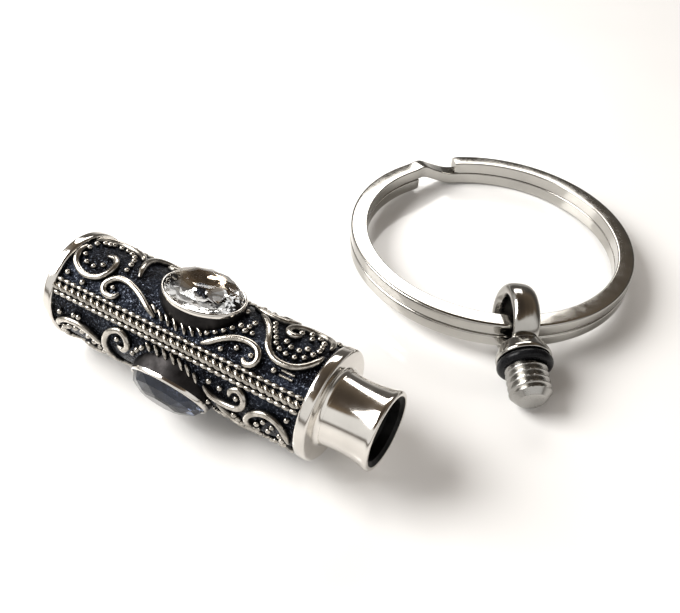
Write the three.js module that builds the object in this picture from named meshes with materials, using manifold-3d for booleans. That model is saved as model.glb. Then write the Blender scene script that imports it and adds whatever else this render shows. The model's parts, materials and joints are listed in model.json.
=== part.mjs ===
// Keepsake cryptex: a filigree capsule with a screw neck, lying beside the key ring that carries its plug.
// Millimetres, +Z up, the surface it lies on at z = 0. The capsule's axis runs along +X from base to mouth.

import * as THREE from 'three';
import { ConvexGeometry } from 'three/addons/geometries/ConvexGeometry.js';
import { mergeVertices } from 'three/addons/utils/BufferGeometryUtils.js';
import Module from 'manifold-3d';

const wasm = await Module();
wasm.setup();

// Driving dimensions.
const clearance = 0.04; // between soldered or seated neighbours
const bodyLength = 27.5; // base face to shoulder face
const bandRadius = 5.0; // polished end bands
const baseBandLength = 1.0;
const shoulderLength = 1.1;
const sleeveRadius = 4.5; // ground of the filigree
const reservoirRadius = 3.5;
const reservoirWall = 0.5;
const neckLength = 4.86; // shoulder face to mouth
const neckRadius = 3.3;
const waistRadius = 3.2;
const lipRadius = 3.52;
const lipFaceRadius = 3.36;
const mouthRadius = 3.12;
const sealSeatRadius = 2.68;
const sealSeatDepth = 1.15;
const reliefRadius = 2.45; // between the seal's seat and the stud's hole
const reliefDepth = 2.96;
const threadHoleRadius = 2.05;
const neckSink = 2.16; // how far the neck tube reaches back through the shoulder
const panelCount = 3;
const panelPitch = THREE.MathUtils.degToRad(360 / panelCount);
const firstPanelAngle = THREE.MathUtils.degToRad(80); // from +Y towards +Z
const stoneX = 13.9;
const rimLength = 8.16; // oval bezel, outside
const rimWidth = 6.16;
const rimHeight = 5.36; // from the capsule's axis
const rimWall = 0.3;
const stoneSeat = 4.3;
const stoneTop = 6.6;
const wireRadius = 0.2;
const ropeRadius = 0.27;
const beadRowOffset = 0.56;
const ringRadius = 15; // key ring, outside
const ringWireWidth = 1.74;
const ringWireHeight = 1.32;
const ringCoilPitch = 1.36;
const ringCrank = THREE.MathUtils.degToRad(6.6); // half the arc in which the wire climbs one coil
const ringSplitGap = THREE.MathUtils.degToRad(3.4); // from the crank to each free end
const studRadius = 1.95; // M4 stud
const studLength = 3.24;
const tipRadius = 1.42;
const chamferLength = 0.5;
const sealRadius = 2.12; // middle of the O-ring's cord
const sealCord = 0.5; // radius of the O-ring's cord
const collarRadius = 2.65;
const collarBackRadius = 2.1;
const collarLength = 1.55;
const eyeWidth = 2.6;
const eyeHeight = 6.6;
const eyeRound = 6; // width the eye would have if its rounding ran out to nothing
const eyeHoleHeight = 3.8;
const eyeHoleLength = 5.1;
const eyeStrand = 1.4;
const eyeTwist = THREE.MathUtils.degToRad(8.5);

// Where things lie.
const lowestStoneDip = 2 * Math.PI - firstPanelAngle - 2 * panelPitch; // below level
const axisHeight = rimHeight * Math.sin(lowestStoneDip) + rimWidth / 2 * Math.cos(lowestStoneDip) + 0.02;
const ringCentre = new THREE.Vector3(28.6, 30.62, 2.3);
const ringNormal = new THREE.Vector3(-0.01, 0.066, 1).normalize();
const ringSplitAngle = THREE.MathUtils.degToRad(141);
const plugTip = new THREE.Vector3(40.645, 12.6, 1.93);
const plugYaw = THREE.MathUtils.degToRad(-56.2);
const plugDip = THREE.MathUtils.degToRad(9.56);

const oxidisedSilver = { color: 0x2a2a2e, roughness: 0.6, metalness: 0.9 };
const brightSilver = { color: 0xc9c4bc, roughness: 0.22, metalness: 1 };
const polishedSteel = { color: 0xd2d0cc, roughness: 0.12, metalness: 1 };
const clearStone = { color: 0xe8ecf0, roughness: 0.03, metalness: 0 };
const silverFoil = { color: 0xb8bcc2, roughness: 0.2, metalness: 1 };
const blackRubber = { color: 0x101010, roughness: 0.5, metalness: 0 };

// Merges shared corners, drops the empty triangles at poles, and turns every face outwards.
function closed(geometry) {
  geometry.deleteAttribute('normal');
  geometry.deleteAttribute('uv');
  const merged = mergeVertices(geometry, 1e-4);
  const place = merged.attributes.position;
  const corners = [new THREE.Vector3(), new THREE.Vector3(), new THREE.Vector3()];
  const kept = [];
  let volume = 0;
  for (let i = 0; i < merged.index.count; i += 3) {
    const face = [0, 1, 2].map((k) => merged.index.getX(i + k));
    if (new Set(face).size === 3) {
      kept.push(face);
      corners.forEach((corner, k) => corner.fromBufferAttribute(place, face[k]));
      volume += corners[0].dot(corners[1].cross(corners[2]));
    }
  }
  merged.setIndex(kept.flatMap((face) => (volume < 0 ? face.reverse() : face)));
  return merged;
}

function toManifold(geometry) {
  const mesh = closed(geometry);
  const vertProperties = new Float32Array(mesh.attributes.position.array);
  const triVerts = new Uint32Array(mesh.index.array);
  return new wasm.Manifold(new wasm.Mesh({ numProp: 3, vertProperties, triVerts }));
}

function fromManifold(manifold) {
  const mesh = manifold.getMesh();
  const geometry = new THREE.BufferGeometry();
  geometry.setAttribute('position', new THREE.BufferAttribute(mesh.vertProperties, 3));
  geometry.setIndex(new THREE.BufferAttribute(mesh.triVerts, 1));
  return geometry;
}

// Turns [x, radius] points about the X axis.
function turned(profile, segments = 32) {
  const points = profile.map(([x, radius]) => new THREE.Vector2(radius, x));
  return new THREE.LatheGeometry(points, segments).rotateZ(-Math.PI / 2);
}

function tube(start, end, outer, inner, segments = 32) {
  return turned([[start, inner], [start, outer], [end, outer], [end, inner], [start, inner]], segments);
}

// A closed ellipse of straight sides, centred on (x, 0).
function ellipse(x, length, width, sides) {
  const corners = [];
  for (let i = 0; i < sides; i += 1) {
    const angle = 2 * Math.PI * i / sides;
    corners.push(new THREE.Vector2(x + length / 2 * Math.cos(angle), width / 2 * Math.sin(angle)));
  }
  return new THREE.Shape(corners);
}

// An oval block standing on the XY plane of a panel, centred on its stone.
function oval(length, width, low, high, sides = 24) {
  const shape = ellipse(stoneX, length, width, sides);
  return new THREE.ExtrudeGeometry(shape, { depth: high - low, bevelEnabled: false }).translate(0, 0, low);
}

// A round wire along a curve.
function wire(curve, radius, steps, sides = 5) {
  const section = ellipse(0, 2 * radius, 2 * radius, sides);
  return new THREE.ExtrudeGeometry(section, { steps, bevelEnabled: false, extrudePath: curve });
}

// A point of a panel's surface: x along the capsule, s round it from the stone's centre line.
function onSleeve(x, s, height) {
  const angle = -s / (sleeveRadius + wireRadius);
  return new THREE.Vector3(x, height * Math.sin(angle), height * Math.cos(angle));
}

function addNode(group, name, geometry, material) {
  const mesh = new THREE.Mesh(closed(geometry), new THREE.MeshStandardMaterial(material));
  mesh.name = name;
  group.add(mesh);
}

function baseCap() {
  const spigotRadius = reservoirRadius - reservoirWall - clearance;
  const spigotEnd = baseBandLength + 1;
  return turned([[0, 0], [0, bandRadius - 0.25], [0.25, bandRadius], [baseBandLength, bandRadius],
    [baseBandLength, spigotRadius], [spigotEnd, spigotRadius], [spigotEnd, 0]]);
}

function shoulderCap() {
  const start = bodyLength - shoulderLength;
  const inner = neckRadius + clearance;
  return turned([[start, inner], [start, bandRadius], [bodyLength - 0.3, bandRadius],
    [bodyLength, bandRadius - 0.3], [bodyLength, inner], [start, inner]]);
}

// The neck: a waisted tube with a flared lip. Its mouth is bored for the seal, and the rest for the stud.
function neckTube() {
  const mouth = bodyLength + neckLength;
  const inside = bodyLength - neckSink;
  return turned([[inside, threadHoleRadius], [inside, neckRadius], [bodyLength + 0.3, neckRadius],
    [bodyLength + 2, waistRadius], [mouth - 1.2, neckRadius], [mouth - 0.45, lipRadius],
    [mouth - 0.2, lipRadius], [mouth, lipFaceRadius], [mouth, mouthRadius], [mouth - 0.3, sealSeatRadius],
    [mouth - sealSeatDepth, sealSeatRadius], [mouth - sealSeatDepth - 0.2, reliefRadius],
    [mouth - reliefDepth, reliefRadius], [mouth - reliefDepth, threadHoleRadius], [inside, threadHoleRadius]]);
}

// The sleeve is pierced where each bezel cup is let in.
function filigreeSleeve() {
  const start = baseBandLength + clearance;
  const end = bodyLength - shoulderLength - clearance;
  let sleeve = toManifold(tube(start, end, sleeveRadius, reservoirRadius + clearance, 48));
  for (let i = 0; i < panelCount; i += 1) {
    const pocket = oval(rimLength + 2 * clearance, rimWidth + 2 * clearance, 2, bandRadius);
    pocket.rotateX(firstPanelAngle + i * panelPitch - Math.PI / 2);
    sleeve = sleeve.subtract(toManifold(pocket));
  }
  return fromManifold(sleeve);
}

function bezelCup() {
  const block = toManifold(oval(rimLength, rimWidth, 3.1, rimHeight));
  const seat = toManifold(oval(rimLength - 2 * rimWall, rimWidth - 2 * rimWall, stoneSeat, rimHeight + 1));
  const core = toManifold(turned([[0, 0], [0, reservoirRadius + 0.06], [bodyLength, reservoirRadius + 0.06],
    [bodyLength, 0]]));
  return fromManifold(block.subtract(seat).subtract(core));
}

function foilBack() {
  const margin = 2 * (rimWall + clearance);
  return oval(rimLength - margin, rimWidth - margin, stoneSeat + clearance, stoneSeat + 0.11, 24);
}

// A flat-backed oval stone: a straight girdle, two tiers of crown facets and a table.
function crystal() {
  const margin = 2 * (rimWall + 0.06);
  const girdleTop = rimHeight - 0.1;
  const tiers = [[stoneSeat + 0.15, 1, 0], [girdleTop, 1, 0], [girdleTop + 0.8, 0.84, 0.5], [stoneTop, 0.52, 0]];
  const facets = 12;
  const points = [];
  for (const [height, share, turn] of tiers) {
    for (let i = 0; i < facets; i += 1) {
      const angle = 2 * Math.PI * (i + turn) / facets;
      const x = stoneX + share * (rimLength - margin) / 2 * Math.cos(angle);
      points.push(new THREE.Vector3(x, share * (rimWidth - margin) / 2 * Math.sin(angle), height));
    }
  }
  return new ConvexGeometry(points);
}

// Scroll wires of one panel, as [x, s] points. Positive s lies between the stone and the next ridge.
const scrolls = {
  base_c: [[1.35, 0.3], [1.3, 1.3], [1.75, 2.3], [2.7, 2.9], [3.7, 3.05], [4.7, 2.7], [5.25, 1.9],
    [5.2, 1.0], [4.6, 0.45], [3.85, 0.5]],
  base_s: [[11.4, 3.75], [10.3, 3.2], [9.3, 2.65], [8.3, 2.25], [7.3, 2.0], [6.3, 2.15], [5.68, 2.8],
    [5.65, 3.4], [6.15, 3.78], [6.9, 3.72], [7.3, 3.25]],
  base_arc: [[1.35, -0.75], [1.75, -1.6], [2.7, -2.15], [4.0, -2.3], [5.2, -2.05], [6.0, -1.6], [6.5, -1.1]],
  base_crook: [[7.9, 1.1], [7.45, 0.2], [7.1, -0.8], [7.05, -2.0], [7.5, -3.1], [8.5, -3.7], [9.3, -3.45],
    [9.65, -2.7], [9.2, -2.05], [8.5, -2.1]],
  mouth_hook: [[16.3, 3.92], [17.0, 3.5], [17.9, 2.8], [18.9, 2.3], [20.0, 2.12], [20.95, 2.35], [21.45, 3.0],
    [21.3, 3.6], [20.7, 3.85], [20.2, 3.5]],
  mouth_s: [[18.95, -1.3], [19.7, -0.8], [20.5, 0.0], [21.1, 0.9], [21.6, 1.75], [22.4, 2.35], [23.3, 2.55],
    [24.4, 2.4], [25.3, 1.85], [25.85, 1.1], [26.0, 0.4]],
  mouth_crook: [[17.6, -2.6], [18.4, -2.0], [19.6, -1.8], [20.9, -2.0], [21.55, -2.6], [21.55, -3.35],
    [20.95, -3.8], [20.3, -3.5], [20.15, -2.9]],
  mouth_c: [[23.2, -0.8], [22.7, -0.35], [22.1, -0.5], [21.9, -1.2], [22.2, -2.0], [22.95, -2.65],
    [23.9, -2.9], [24.95, -2.6], [25.7, -1.75], [25.95, -0.75]],
};

function scrollWire(points) {
  const height = sleeveRadius + wireRadius + clearance;
  const curve = new THREE.CatmullRomCurve3(points.map(([x, s]) => onSleeve(x, s, height)), false, 'centripetal');
  return wire(curve, wireRadius, Math.round(1.6 * points.length));
}

// A straight strand of a ridge, s round the barrel from the ridge's middle.
function ridgeStrand(s, radius) {
  const start = baseBandLength + clearance;
  const end = bodyLength - shoulderLength - clearance;
  const height = sleeveRadius + radius + clearance;
  const line = new THREE.LineCurve3(onSleeve(start, s, height), onSleeve(end, s, height));
  return wire(line, radius, 1, 8);
}

// The key ring's wire: one coil, a crank up over the split, and a second coil on top of the first. The middle
// tenth of its steps falls in the crank.
class RingPath extends THREE.Curve {
  getUtoTmapping(u) {
    return u;
  }

  getPoint(t, target = new THREE.Vector3()) {
    const away = Math.abs(2 * t - 1);
    const coil = 2 * Math.PI - ringCrank - ringSplitGap;
    const reach = away < 0.1 ? away / 0.1 * ringCrank
      : THREE.MathUtils.mapLinear(away, 0.1, 1, ringCrank, coil);
    const turn = Math.sign(2 * t - 1) * reach;
    const rise = THREE.MathUtils.smoothstep(turn, -ringCrank, ringCrank);
    const radius = ringRadius - ringWireWidth / 2;
    return target.set(radius * Math.cos(turn), radius * Math.sin(turn), (rise - 0.5) * ringCoilPitch);
  }
}

// Flat above, below and inside, and rounded outside. The section's y runs inwards.
function splitRing() {
  const w = ringWireWidth / 2;
  const h = ringWireHeight / 2;
  const section = new THREE.Shape();
  section.moveTo(-h, w);
  section.lineTo(-h, -0.55 * w);
  section.lineTo(-0.55 * h, -w);
  section.lineTo(0.55 * h, -w);
  section.lineTo(h, -0.55 * w);
  section.lineTo(h, w);
  return new THREE.ExtrudeGeometry(section, { steps: 100, bevelEnabled: false, extrudePath: new RingPath() });
}

// The plug, its tip at the origin and pointing along +X: stud, seal groove, collar and eye in one piece.
function screwPlug() {
  const grooveStart = -studLength;
  const collarFace = grooveStart - 2 * sealCord - 0.06;
  const collarBack = collarFace - collarLength;
  const grooveRadius = sealRadius - sealCord - 0.06;
  const stem = turned([[0, 0], [0, tipRadius], [-chamferLength, studRadius], [grooveStart, studRadius],
    [grooveStart, grooveRadius], [collarFace, grooveRadius], [collarFace, collarRadius],
    [collarBack, collarBackRadius], [collarBack, 0]], 28);
  const holeStart = collarBack - 0.2;
  const holeEnd = holeStart - eyeHoleLength;
  const eyeLength = collarBack - holeEnd + eyeStrand + 0.15;
  const eyeMiddle = holeEnd - eyeStrand + eyeLength / 2;
  const dome = new THREE.SphereGeometry(0.5, 28, 20).scale(eyeLength, eyeRound, eyeHeight);
  const slab = new THREE.BoxGeometry(2 * eyeLength, eyeWidth, 2 * eyeHeight);
  const bend = eyeHoleHeight / 2;
  const outline = new THREE.Shape();
  outline.absarc(holeStart - bend - eyeMiddle, 0, bend, -Math.PI / 2, Math.PI / 2);
  outline.absarc(holeEnd + bend - eyeMiddle, 0, bend, Math.PI / 2, 3 * Math.PI / 2);
  const hole = new THREE.ExtrudeGeometry(new THREE.Shape(outline.getPoints(5)), { depth: 2 * eyeWidth,
    bevelEnabled: false });
  hole.translate(0, 0, -eyeWidth).rotateX(Math.PI / 2);
  const eye = toManifold(dome).intersect(toManifold(slab)).subtract(toManifold(hole));
  const twist = THREE.MathUtils.radToDeg(-eyeTwist);
  return fromManifold(toManifold(stem).add(eye.rotate([twist, 0, 0]).translate([eyeMiddle, 0, 0])));
}

function sealRing() {
  const middle = -studLength - sealCord - 0.03;
  return new THREE.TorusGeometry(sealRadius, sealCord, 10, 28).rotateY(Math.PI / 2).translate(middle, 0, 0);
}

const capsule = new THREE.Group();
capsule.position.z = axisHeight;
addNode(capsule, 'base_cap', baseCap(), brightSilver);
addNode(capsule, 'reservoir_tube', tube(baseBandLength + clearance, bodyLength - neckSink - clearance,
  reservoirRadius, reservoirRadius - reservoirWall), brightSilver);
addNode(capsule, 'filigree_sleeve', filigreeSleeve(), oxidisedSilver);
addNode(capsule, 'shoulder_cap', shoulderCap(), brightSilver);
addNode(capsule, 'neck_tube', neckTube(), brightSilver);
for (let i = 0; i < panelCount; i += 1) {
  const panel = new THREE.Group();
  panel.rotation.x = firstPanelAngle + i * panelPitch - Math.PI / 2;
  capsule.add(panel);
  addNode(panel, `bezel_cup_${i + 1}`, bezelCup(), brightSilver);
  addNode(panel, `foil_back_${i + 1}`, foilBack(), silverFoil);
  addNode(panel, `crystal_${i + 1}`, crystal(), clearStone);
  for (const [name, points] of Object.entries(scrolls)) {
    addNode(panel, `${name}_scroll_${i + 1}`, scrollWire(points), brightSilver);
  }
  const ridge = new THREE.Group();
  ridge.rotation.x = panel.rotation.x + panelPitch / 2;
  capsule.add(ridge);
  addNode(ridge, `ridge_rope_${i + 1}`, ridgeStrand(0, ropeRadius), brightSilver);
  addNode(ridge, `ridge_bead_a_${i + 1}`, ridgeStrand(-beadRowOffset, wireRadius), brightSilver);
  addNode(ridge, `ridge_bead_b_${i + 1}`, ridgeStrand(beadRowOffset, wireRadius), brightSilver);
}

const ring = new THREE.Group();
ring.position.copy(ringCentre);
ring.quaternion.setFromUnitVectors(new THREE.Vector3(0, 0, 1), ringNormal);
ring.rotateZ(ringSplitAngle);
addNode(ring, 'split_ring', splitRing(), polishedSteel);

const plug = new THREE.Group();
plug.position.copy(plugTip);
plug.rotation.set(0, plugDip, plugYaw, 'ZYX');
addNode(plug, 'screw_plug', screwPlug(), polishedSteel);
addNode(plug, 'o_ring', sealRing(), blackRubber);

const cryptex = new THREE.Group();
cryptex.add(capsule, ring, plug);
const bounds = new THREE.Box3().setFromObject(cryptex, true);
const middle = bounds.getCenter(new THREE.Vector3());
cryptex.position.set(-middle.x, -middle.y, -bounds.min.z);

export default cryptex;
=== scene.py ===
"""Looks for the keepsake cryptex: a filigree capsule with three stones, and its plug on a split ring.

The capsule's pieces are laid out in its own frame: x from the base face to the mouth, s round the barrel
from a panel's stone line, and h out from the axis. The plug's are laid out from its tip, back along -x.
Lengths are millimetres until make_object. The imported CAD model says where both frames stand.
"""

import json
import math
import random

import bmesh
import bpy
from mathutils import Matrix, Vector, noise

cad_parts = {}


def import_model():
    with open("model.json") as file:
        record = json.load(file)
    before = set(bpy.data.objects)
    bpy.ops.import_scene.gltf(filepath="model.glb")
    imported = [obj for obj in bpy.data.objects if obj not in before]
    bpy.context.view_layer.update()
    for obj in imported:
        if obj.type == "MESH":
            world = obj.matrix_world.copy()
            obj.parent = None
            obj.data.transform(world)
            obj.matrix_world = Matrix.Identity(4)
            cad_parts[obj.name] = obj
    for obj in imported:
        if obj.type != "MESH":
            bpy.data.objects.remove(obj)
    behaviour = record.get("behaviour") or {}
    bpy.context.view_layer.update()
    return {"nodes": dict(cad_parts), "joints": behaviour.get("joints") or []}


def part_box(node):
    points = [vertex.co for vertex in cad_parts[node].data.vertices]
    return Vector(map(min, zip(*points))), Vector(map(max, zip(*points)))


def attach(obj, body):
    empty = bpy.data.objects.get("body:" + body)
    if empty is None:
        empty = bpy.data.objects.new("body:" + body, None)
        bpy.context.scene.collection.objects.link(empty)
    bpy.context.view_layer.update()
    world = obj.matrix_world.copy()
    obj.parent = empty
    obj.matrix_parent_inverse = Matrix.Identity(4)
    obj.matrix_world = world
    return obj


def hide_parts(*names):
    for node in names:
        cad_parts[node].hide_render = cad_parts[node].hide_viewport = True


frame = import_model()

random.seed(7)
MM = 0.001

# ---------------------------------------------------------------- the frame's places and sizes

base_low, base_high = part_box("base_cap")
shoulder_low, shoulder_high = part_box("shoulder_cap")
_, neck_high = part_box("neck_tube")
sleeve_low, sleeve_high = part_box("filigree_sleeve")
seal_low, seal_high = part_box("o_ring")

ORIGIN = Vector((base_low.x, (base_low.y + base_high.y) / 2, (base_low.z + base_high.z) / 2)) / MM
BODY_END = (shoulder_high.x - base_low.x) / MM
MOUTH = (neck_high.x - base_low.x) / MM
RELIEF_START = (sleeve_low.x - base_low.x) / MM
RELIEF_END = (sleeve_high.x - base_low.x) / MM
BAND_RADIUS = (shoulder_high.z - shoulder_low.z) / MM / 2
CAPSULE_PLACE = Matrix.Translation(ORIGIN)
CAPSULE_AXIS_HEIGHT = 5.825
TABLE_ORIGIN = Vector((ORIGIN.x, ORIGIN.y, ORIGIN.z - CAPSULE_AXIS_HEIGHT))

# The bands at the barrel's ends, the sleeve between them, and the height of the wires' middle lines, where
# s is measured.
CAP_SEGMENTS = 160
CAP_GAP = 0.04
CAP_FLOOR = 2
SPIGOT_RADIUS = 2.96
SHOULDER_BORE = 3.34
SLEEVE_BORE = 3.54
GROUND_RADIUS = 4.5
RELIEF_HEIGHT = 4.7

# The neck: the tail hidden in the body, the waisted outside, and the thread inside.
NECK_TAIL = 2.16
NECK_TAIL_RADIUS = 3.3
NECK_RADIUS = 3.34
NECK_WAIST = 0.15
NECK_FLARE = 0.17
WAIST_STEPS = 28
THREAD_PITCH = 0.62
NECK_CREST = 2.05
NECK_ROOT = 2.32

# Three like panels of ornament, each with a stone in its middle; the front one's stone and foil are painted
# dark, as painted shade for the shadowed table under the capsule that they mirror.
PANELS = 3
FIRST_PANEL = math.radians(80)
FRONT_PANEL = 1
STONE_X = 13.9
STONE_HALF = (3.74, 2.74)
STONE_TOP = 6.6

# The ring's centre is measured from the point of the table under the middle of the base face.
RING_CENTRE = Vector((28.6, 30.62, 2.3))
RING_NORMAL = Vector((-0.01, 0.066, 1)).normalized()
RING_SPLIT = math.radians(141)
RING_CRANK = math.radians(6.6)
RING_GAP = math.radians(3.4)
RING_RADIUS = 15.0
RING_WIRE = (1.74, 1.32)
RING_PITCH = 1.36
RING_STEPS = 640
CRANK_BEND = 0.22
KNEE_OUT = 0.16
KNEE_UP = 0.12

# The plug: its seal's middle is measured back from the tip of the stud.
PLUG_AXIS = Vector(next(j["axis"] for j in frame["joints"] if j["name"] == "plug_screw_in")).normalized()
SEAL_MIDDLE = (seal_low + seal_high) / 2 / MM
SEAL_BACK = 3.77
SEAL_RADIUS = 2.12
SEAL_CORD = 0.5

# ---------------------------------------------------------------- mesh helpers


def make_object(name, verts, faces, body, material, replaces=(), sharp=40):
    """A mesh piece from points in millimetres. Edges sharper than the angle stay sharp; 0 is flat facets."""
    mesh = bpy.data.meshes.new(name)
    mesh.from_pydata([Vector(v) * MM for v in verts], [], faces)
    mesh.validate()
    bm = bmesh.new()
    bm.from_mesh(mesh)
    bmesh.ops.recalc_face_normals(bm, faces=bm.faces)
    bm.to_mesh(mesh)
    bm.free()
    for polygon in mesh.polygons:
        polygon.use_smooth = sharp > 0
    if 0 < sharp < 180:
        mesh.set_sharp_from_angle(angle=math.radians(sharp))
    piece = bpy.data.objects.new(name, mesh)
    bpy.context.scene.collection.objects.link(piece)
    piece.data.materials.append(material)
    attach(piece, body)
    if replaces:
        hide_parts(*replaces)
    return piece


def grid_faces(rows, columns, closed_rows=False):
    """Quads between rows of points, each row a loop. With closed_rows the last row joins the first."""
    faces = []
    for i in range(rows if closed_rows else rows - 1):
        k = (i + 1) % rows
        for j in range(columns):
            m = (j + 1) % columns
            faces.append((i * columns + j, i * columns + m, k * columns + m, k * columns + j))
    return faces


def shifted(faces, start):
    """The same faces, with every point's number raised by start."""
    return [tuple(start + i for i in face) for face in faces]


def merge(parts):
    """Joins several (verts, faces) pairs into one."""
    verts, faces = [], []
    for part_verts, part_faces in parts:
        faces += shifted(part_faces, len(verts))
        verts += part_verts
    return verts, faces


def polar(x, radius, angle):
    """A point at x on the x axis, moved out by a radius, at an angle from +y towards +z."""
    return Vector((x, radius * math.cos(angle), radius * math.sin(angle)))


def hoop(x, radius, count):
    """A loop of points round the x axis."""
    return [polar(x, radius, 2 * math.pi * j / count) for j in range(count)]


def catmull(points, per_span):
    """A smooth curve through 2-D points, with its own end tangents."""
    first = [2 * a - b for a, b in zip(points[0], points[1])]
    last = [2 * a - b for a, b in zip(points[-1], points[-2])]
    ring = [first, *points, last]
    curve = []
    for i in range(1, len(ring) - 2):
        for k in range(per_span):
            t = k / per_span
            weights = (-t + 2 * t * t - t ** 3, 2 - 5 * t * t + 3 * t ** 3,
                       t + 4 * t * t - 3 * t ** 3, -t * t + t ** 3)
            curve.append([sum(w * ring[i - 1 + n][axis] for n, w in enumerate(weights)) / 2
                          for axis in (0, 1)])
    curve.append(list(points[-1]))
    return curve


def sweep(points, ups, section, scale=None):
    """A section of (across, up) points carried along an open path and closed with a face at each end."""
    verts = []
    count = len(points)
    for i, point in enumerate(points):
        tangent = (points[min(i + 1, count - 1)] - points[max(i - 1, 0)]).normalized()
        up = (ups[i] - tangent * ups[i].dot(tangent)).normalized()
        side = up.cross(tangent)
        size = scale[i] if scale else 1
        verts += [point + side * (a * size) + up * (b * size) for a, b in section]
    return verts, capped_faces(count, len(section))


def capped_faces(rows, columns):
    """The faces of a tube of rows, with a face over its first and its last row."""
    end = (rows - 1) * columns
    return grid_faces(rows, columns) + [tuple(range(columns)), tuple(range(end, end + columns))]


def turned(profile, place, segments, closed=False):
    """Turns (x, radius) points about the x axis of a place matrix. Points on the axis become poles."""
    verts, faces, rows = [], [], []
    for x, radius in profile:
        if radius < 1e-6:
            rows.append([len(verts)])
            verts.append(place @ Vector((x, 0, 0)))
            continue
        rows.append(list(range(len(verts), len(verts) + segments)))
        verts += [place @ point for point in hoop(x, radius, segments)]
    pairs = list(zip(rows, rows[1:])) + ([(rows[-1], rows[0])] if closed else [])
    for low, high in pairs:
        for j in range(segments):
            k = (j + 1) % segments
            face = [low[j % len(low)], low[k % len(low)], high[k % len(high)], high[j % len(high)]]
            faces.append(tuple(dict.fromkeys(face)))
    return verts, faces


def circle_section(radius, sides):
    """A round section for a swept wire."""
    return [(radius * math.cos(2 * math.pi * k / sides), radius * math.sin(2 * math.pi * k / sides))
            for k in range(sides)]


def rounded(profile, radius, steps=5):
    """Rounds the inner corners of an open (x, y) outline."""
    points = [Vector(p) for p in profile]
    result = [points[0]]
    for before, corner, after in zip(points, points[1:], points[2:]):
        into, out = before - corner, after - corner
        cut = min(radius, into.length * 0.45, out.length * 0.45)
        start = corner + into.normalized() * cut
        end = corner + out.normalized() * cut
        for k in range(steps + 1):
            t = k / steps
            result.append(start * (1 - t) ** 2 + corner * (2 * t * (1 - t)) + end * t * t)
    result.append(points[-1])
    return [tuple(p) for p in result]


def panel_angle(panel):
    """Where a panel's stone line stands round the barrel."""
    return FIRST_PANEL + panel * 2 * math.pi / PANELS


def barrel(panel, x, s, h):
    """A point x along the capsule, s round it from a panel's stone line, and h out from the axis."""
    return ORIGIN + polar(x, h, panel_angle(panel) + s / RELIEF_HEIGHT)


def outward(panel, s):
    """The direction straight out of the barrel, s round it from a panel's stone line."""
    return polar(0, 1, panel_angle(panel) + s / RELIEF_HEIGHT)


# ---------------------------------------------------------------- materials


def colour_ramp(tree, source, stops):
    """A colour ramp fed by a socket, with (position, colour) stops; gives its colour socket."""
    node = tree.nodes.new("ShaderNodeValToRGB")
    elements = node.color_ramp.elements
    while len(elements) < len(stops):
        elements.new(0.5)
    for element, (position, colour) in zip(elements, stops):
        element.position = position
        element.color = (*colour, 1)
    tree.links.new(source, node.inputs["Fac"])
    return node.outputs["Color"]


# The sockets of a Mix node that mixes colours.
MIX_FACTOR, MIX_FIRST, MIX_SECOND, MIX_RESULT = 0, 6, 7, 2


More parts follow.
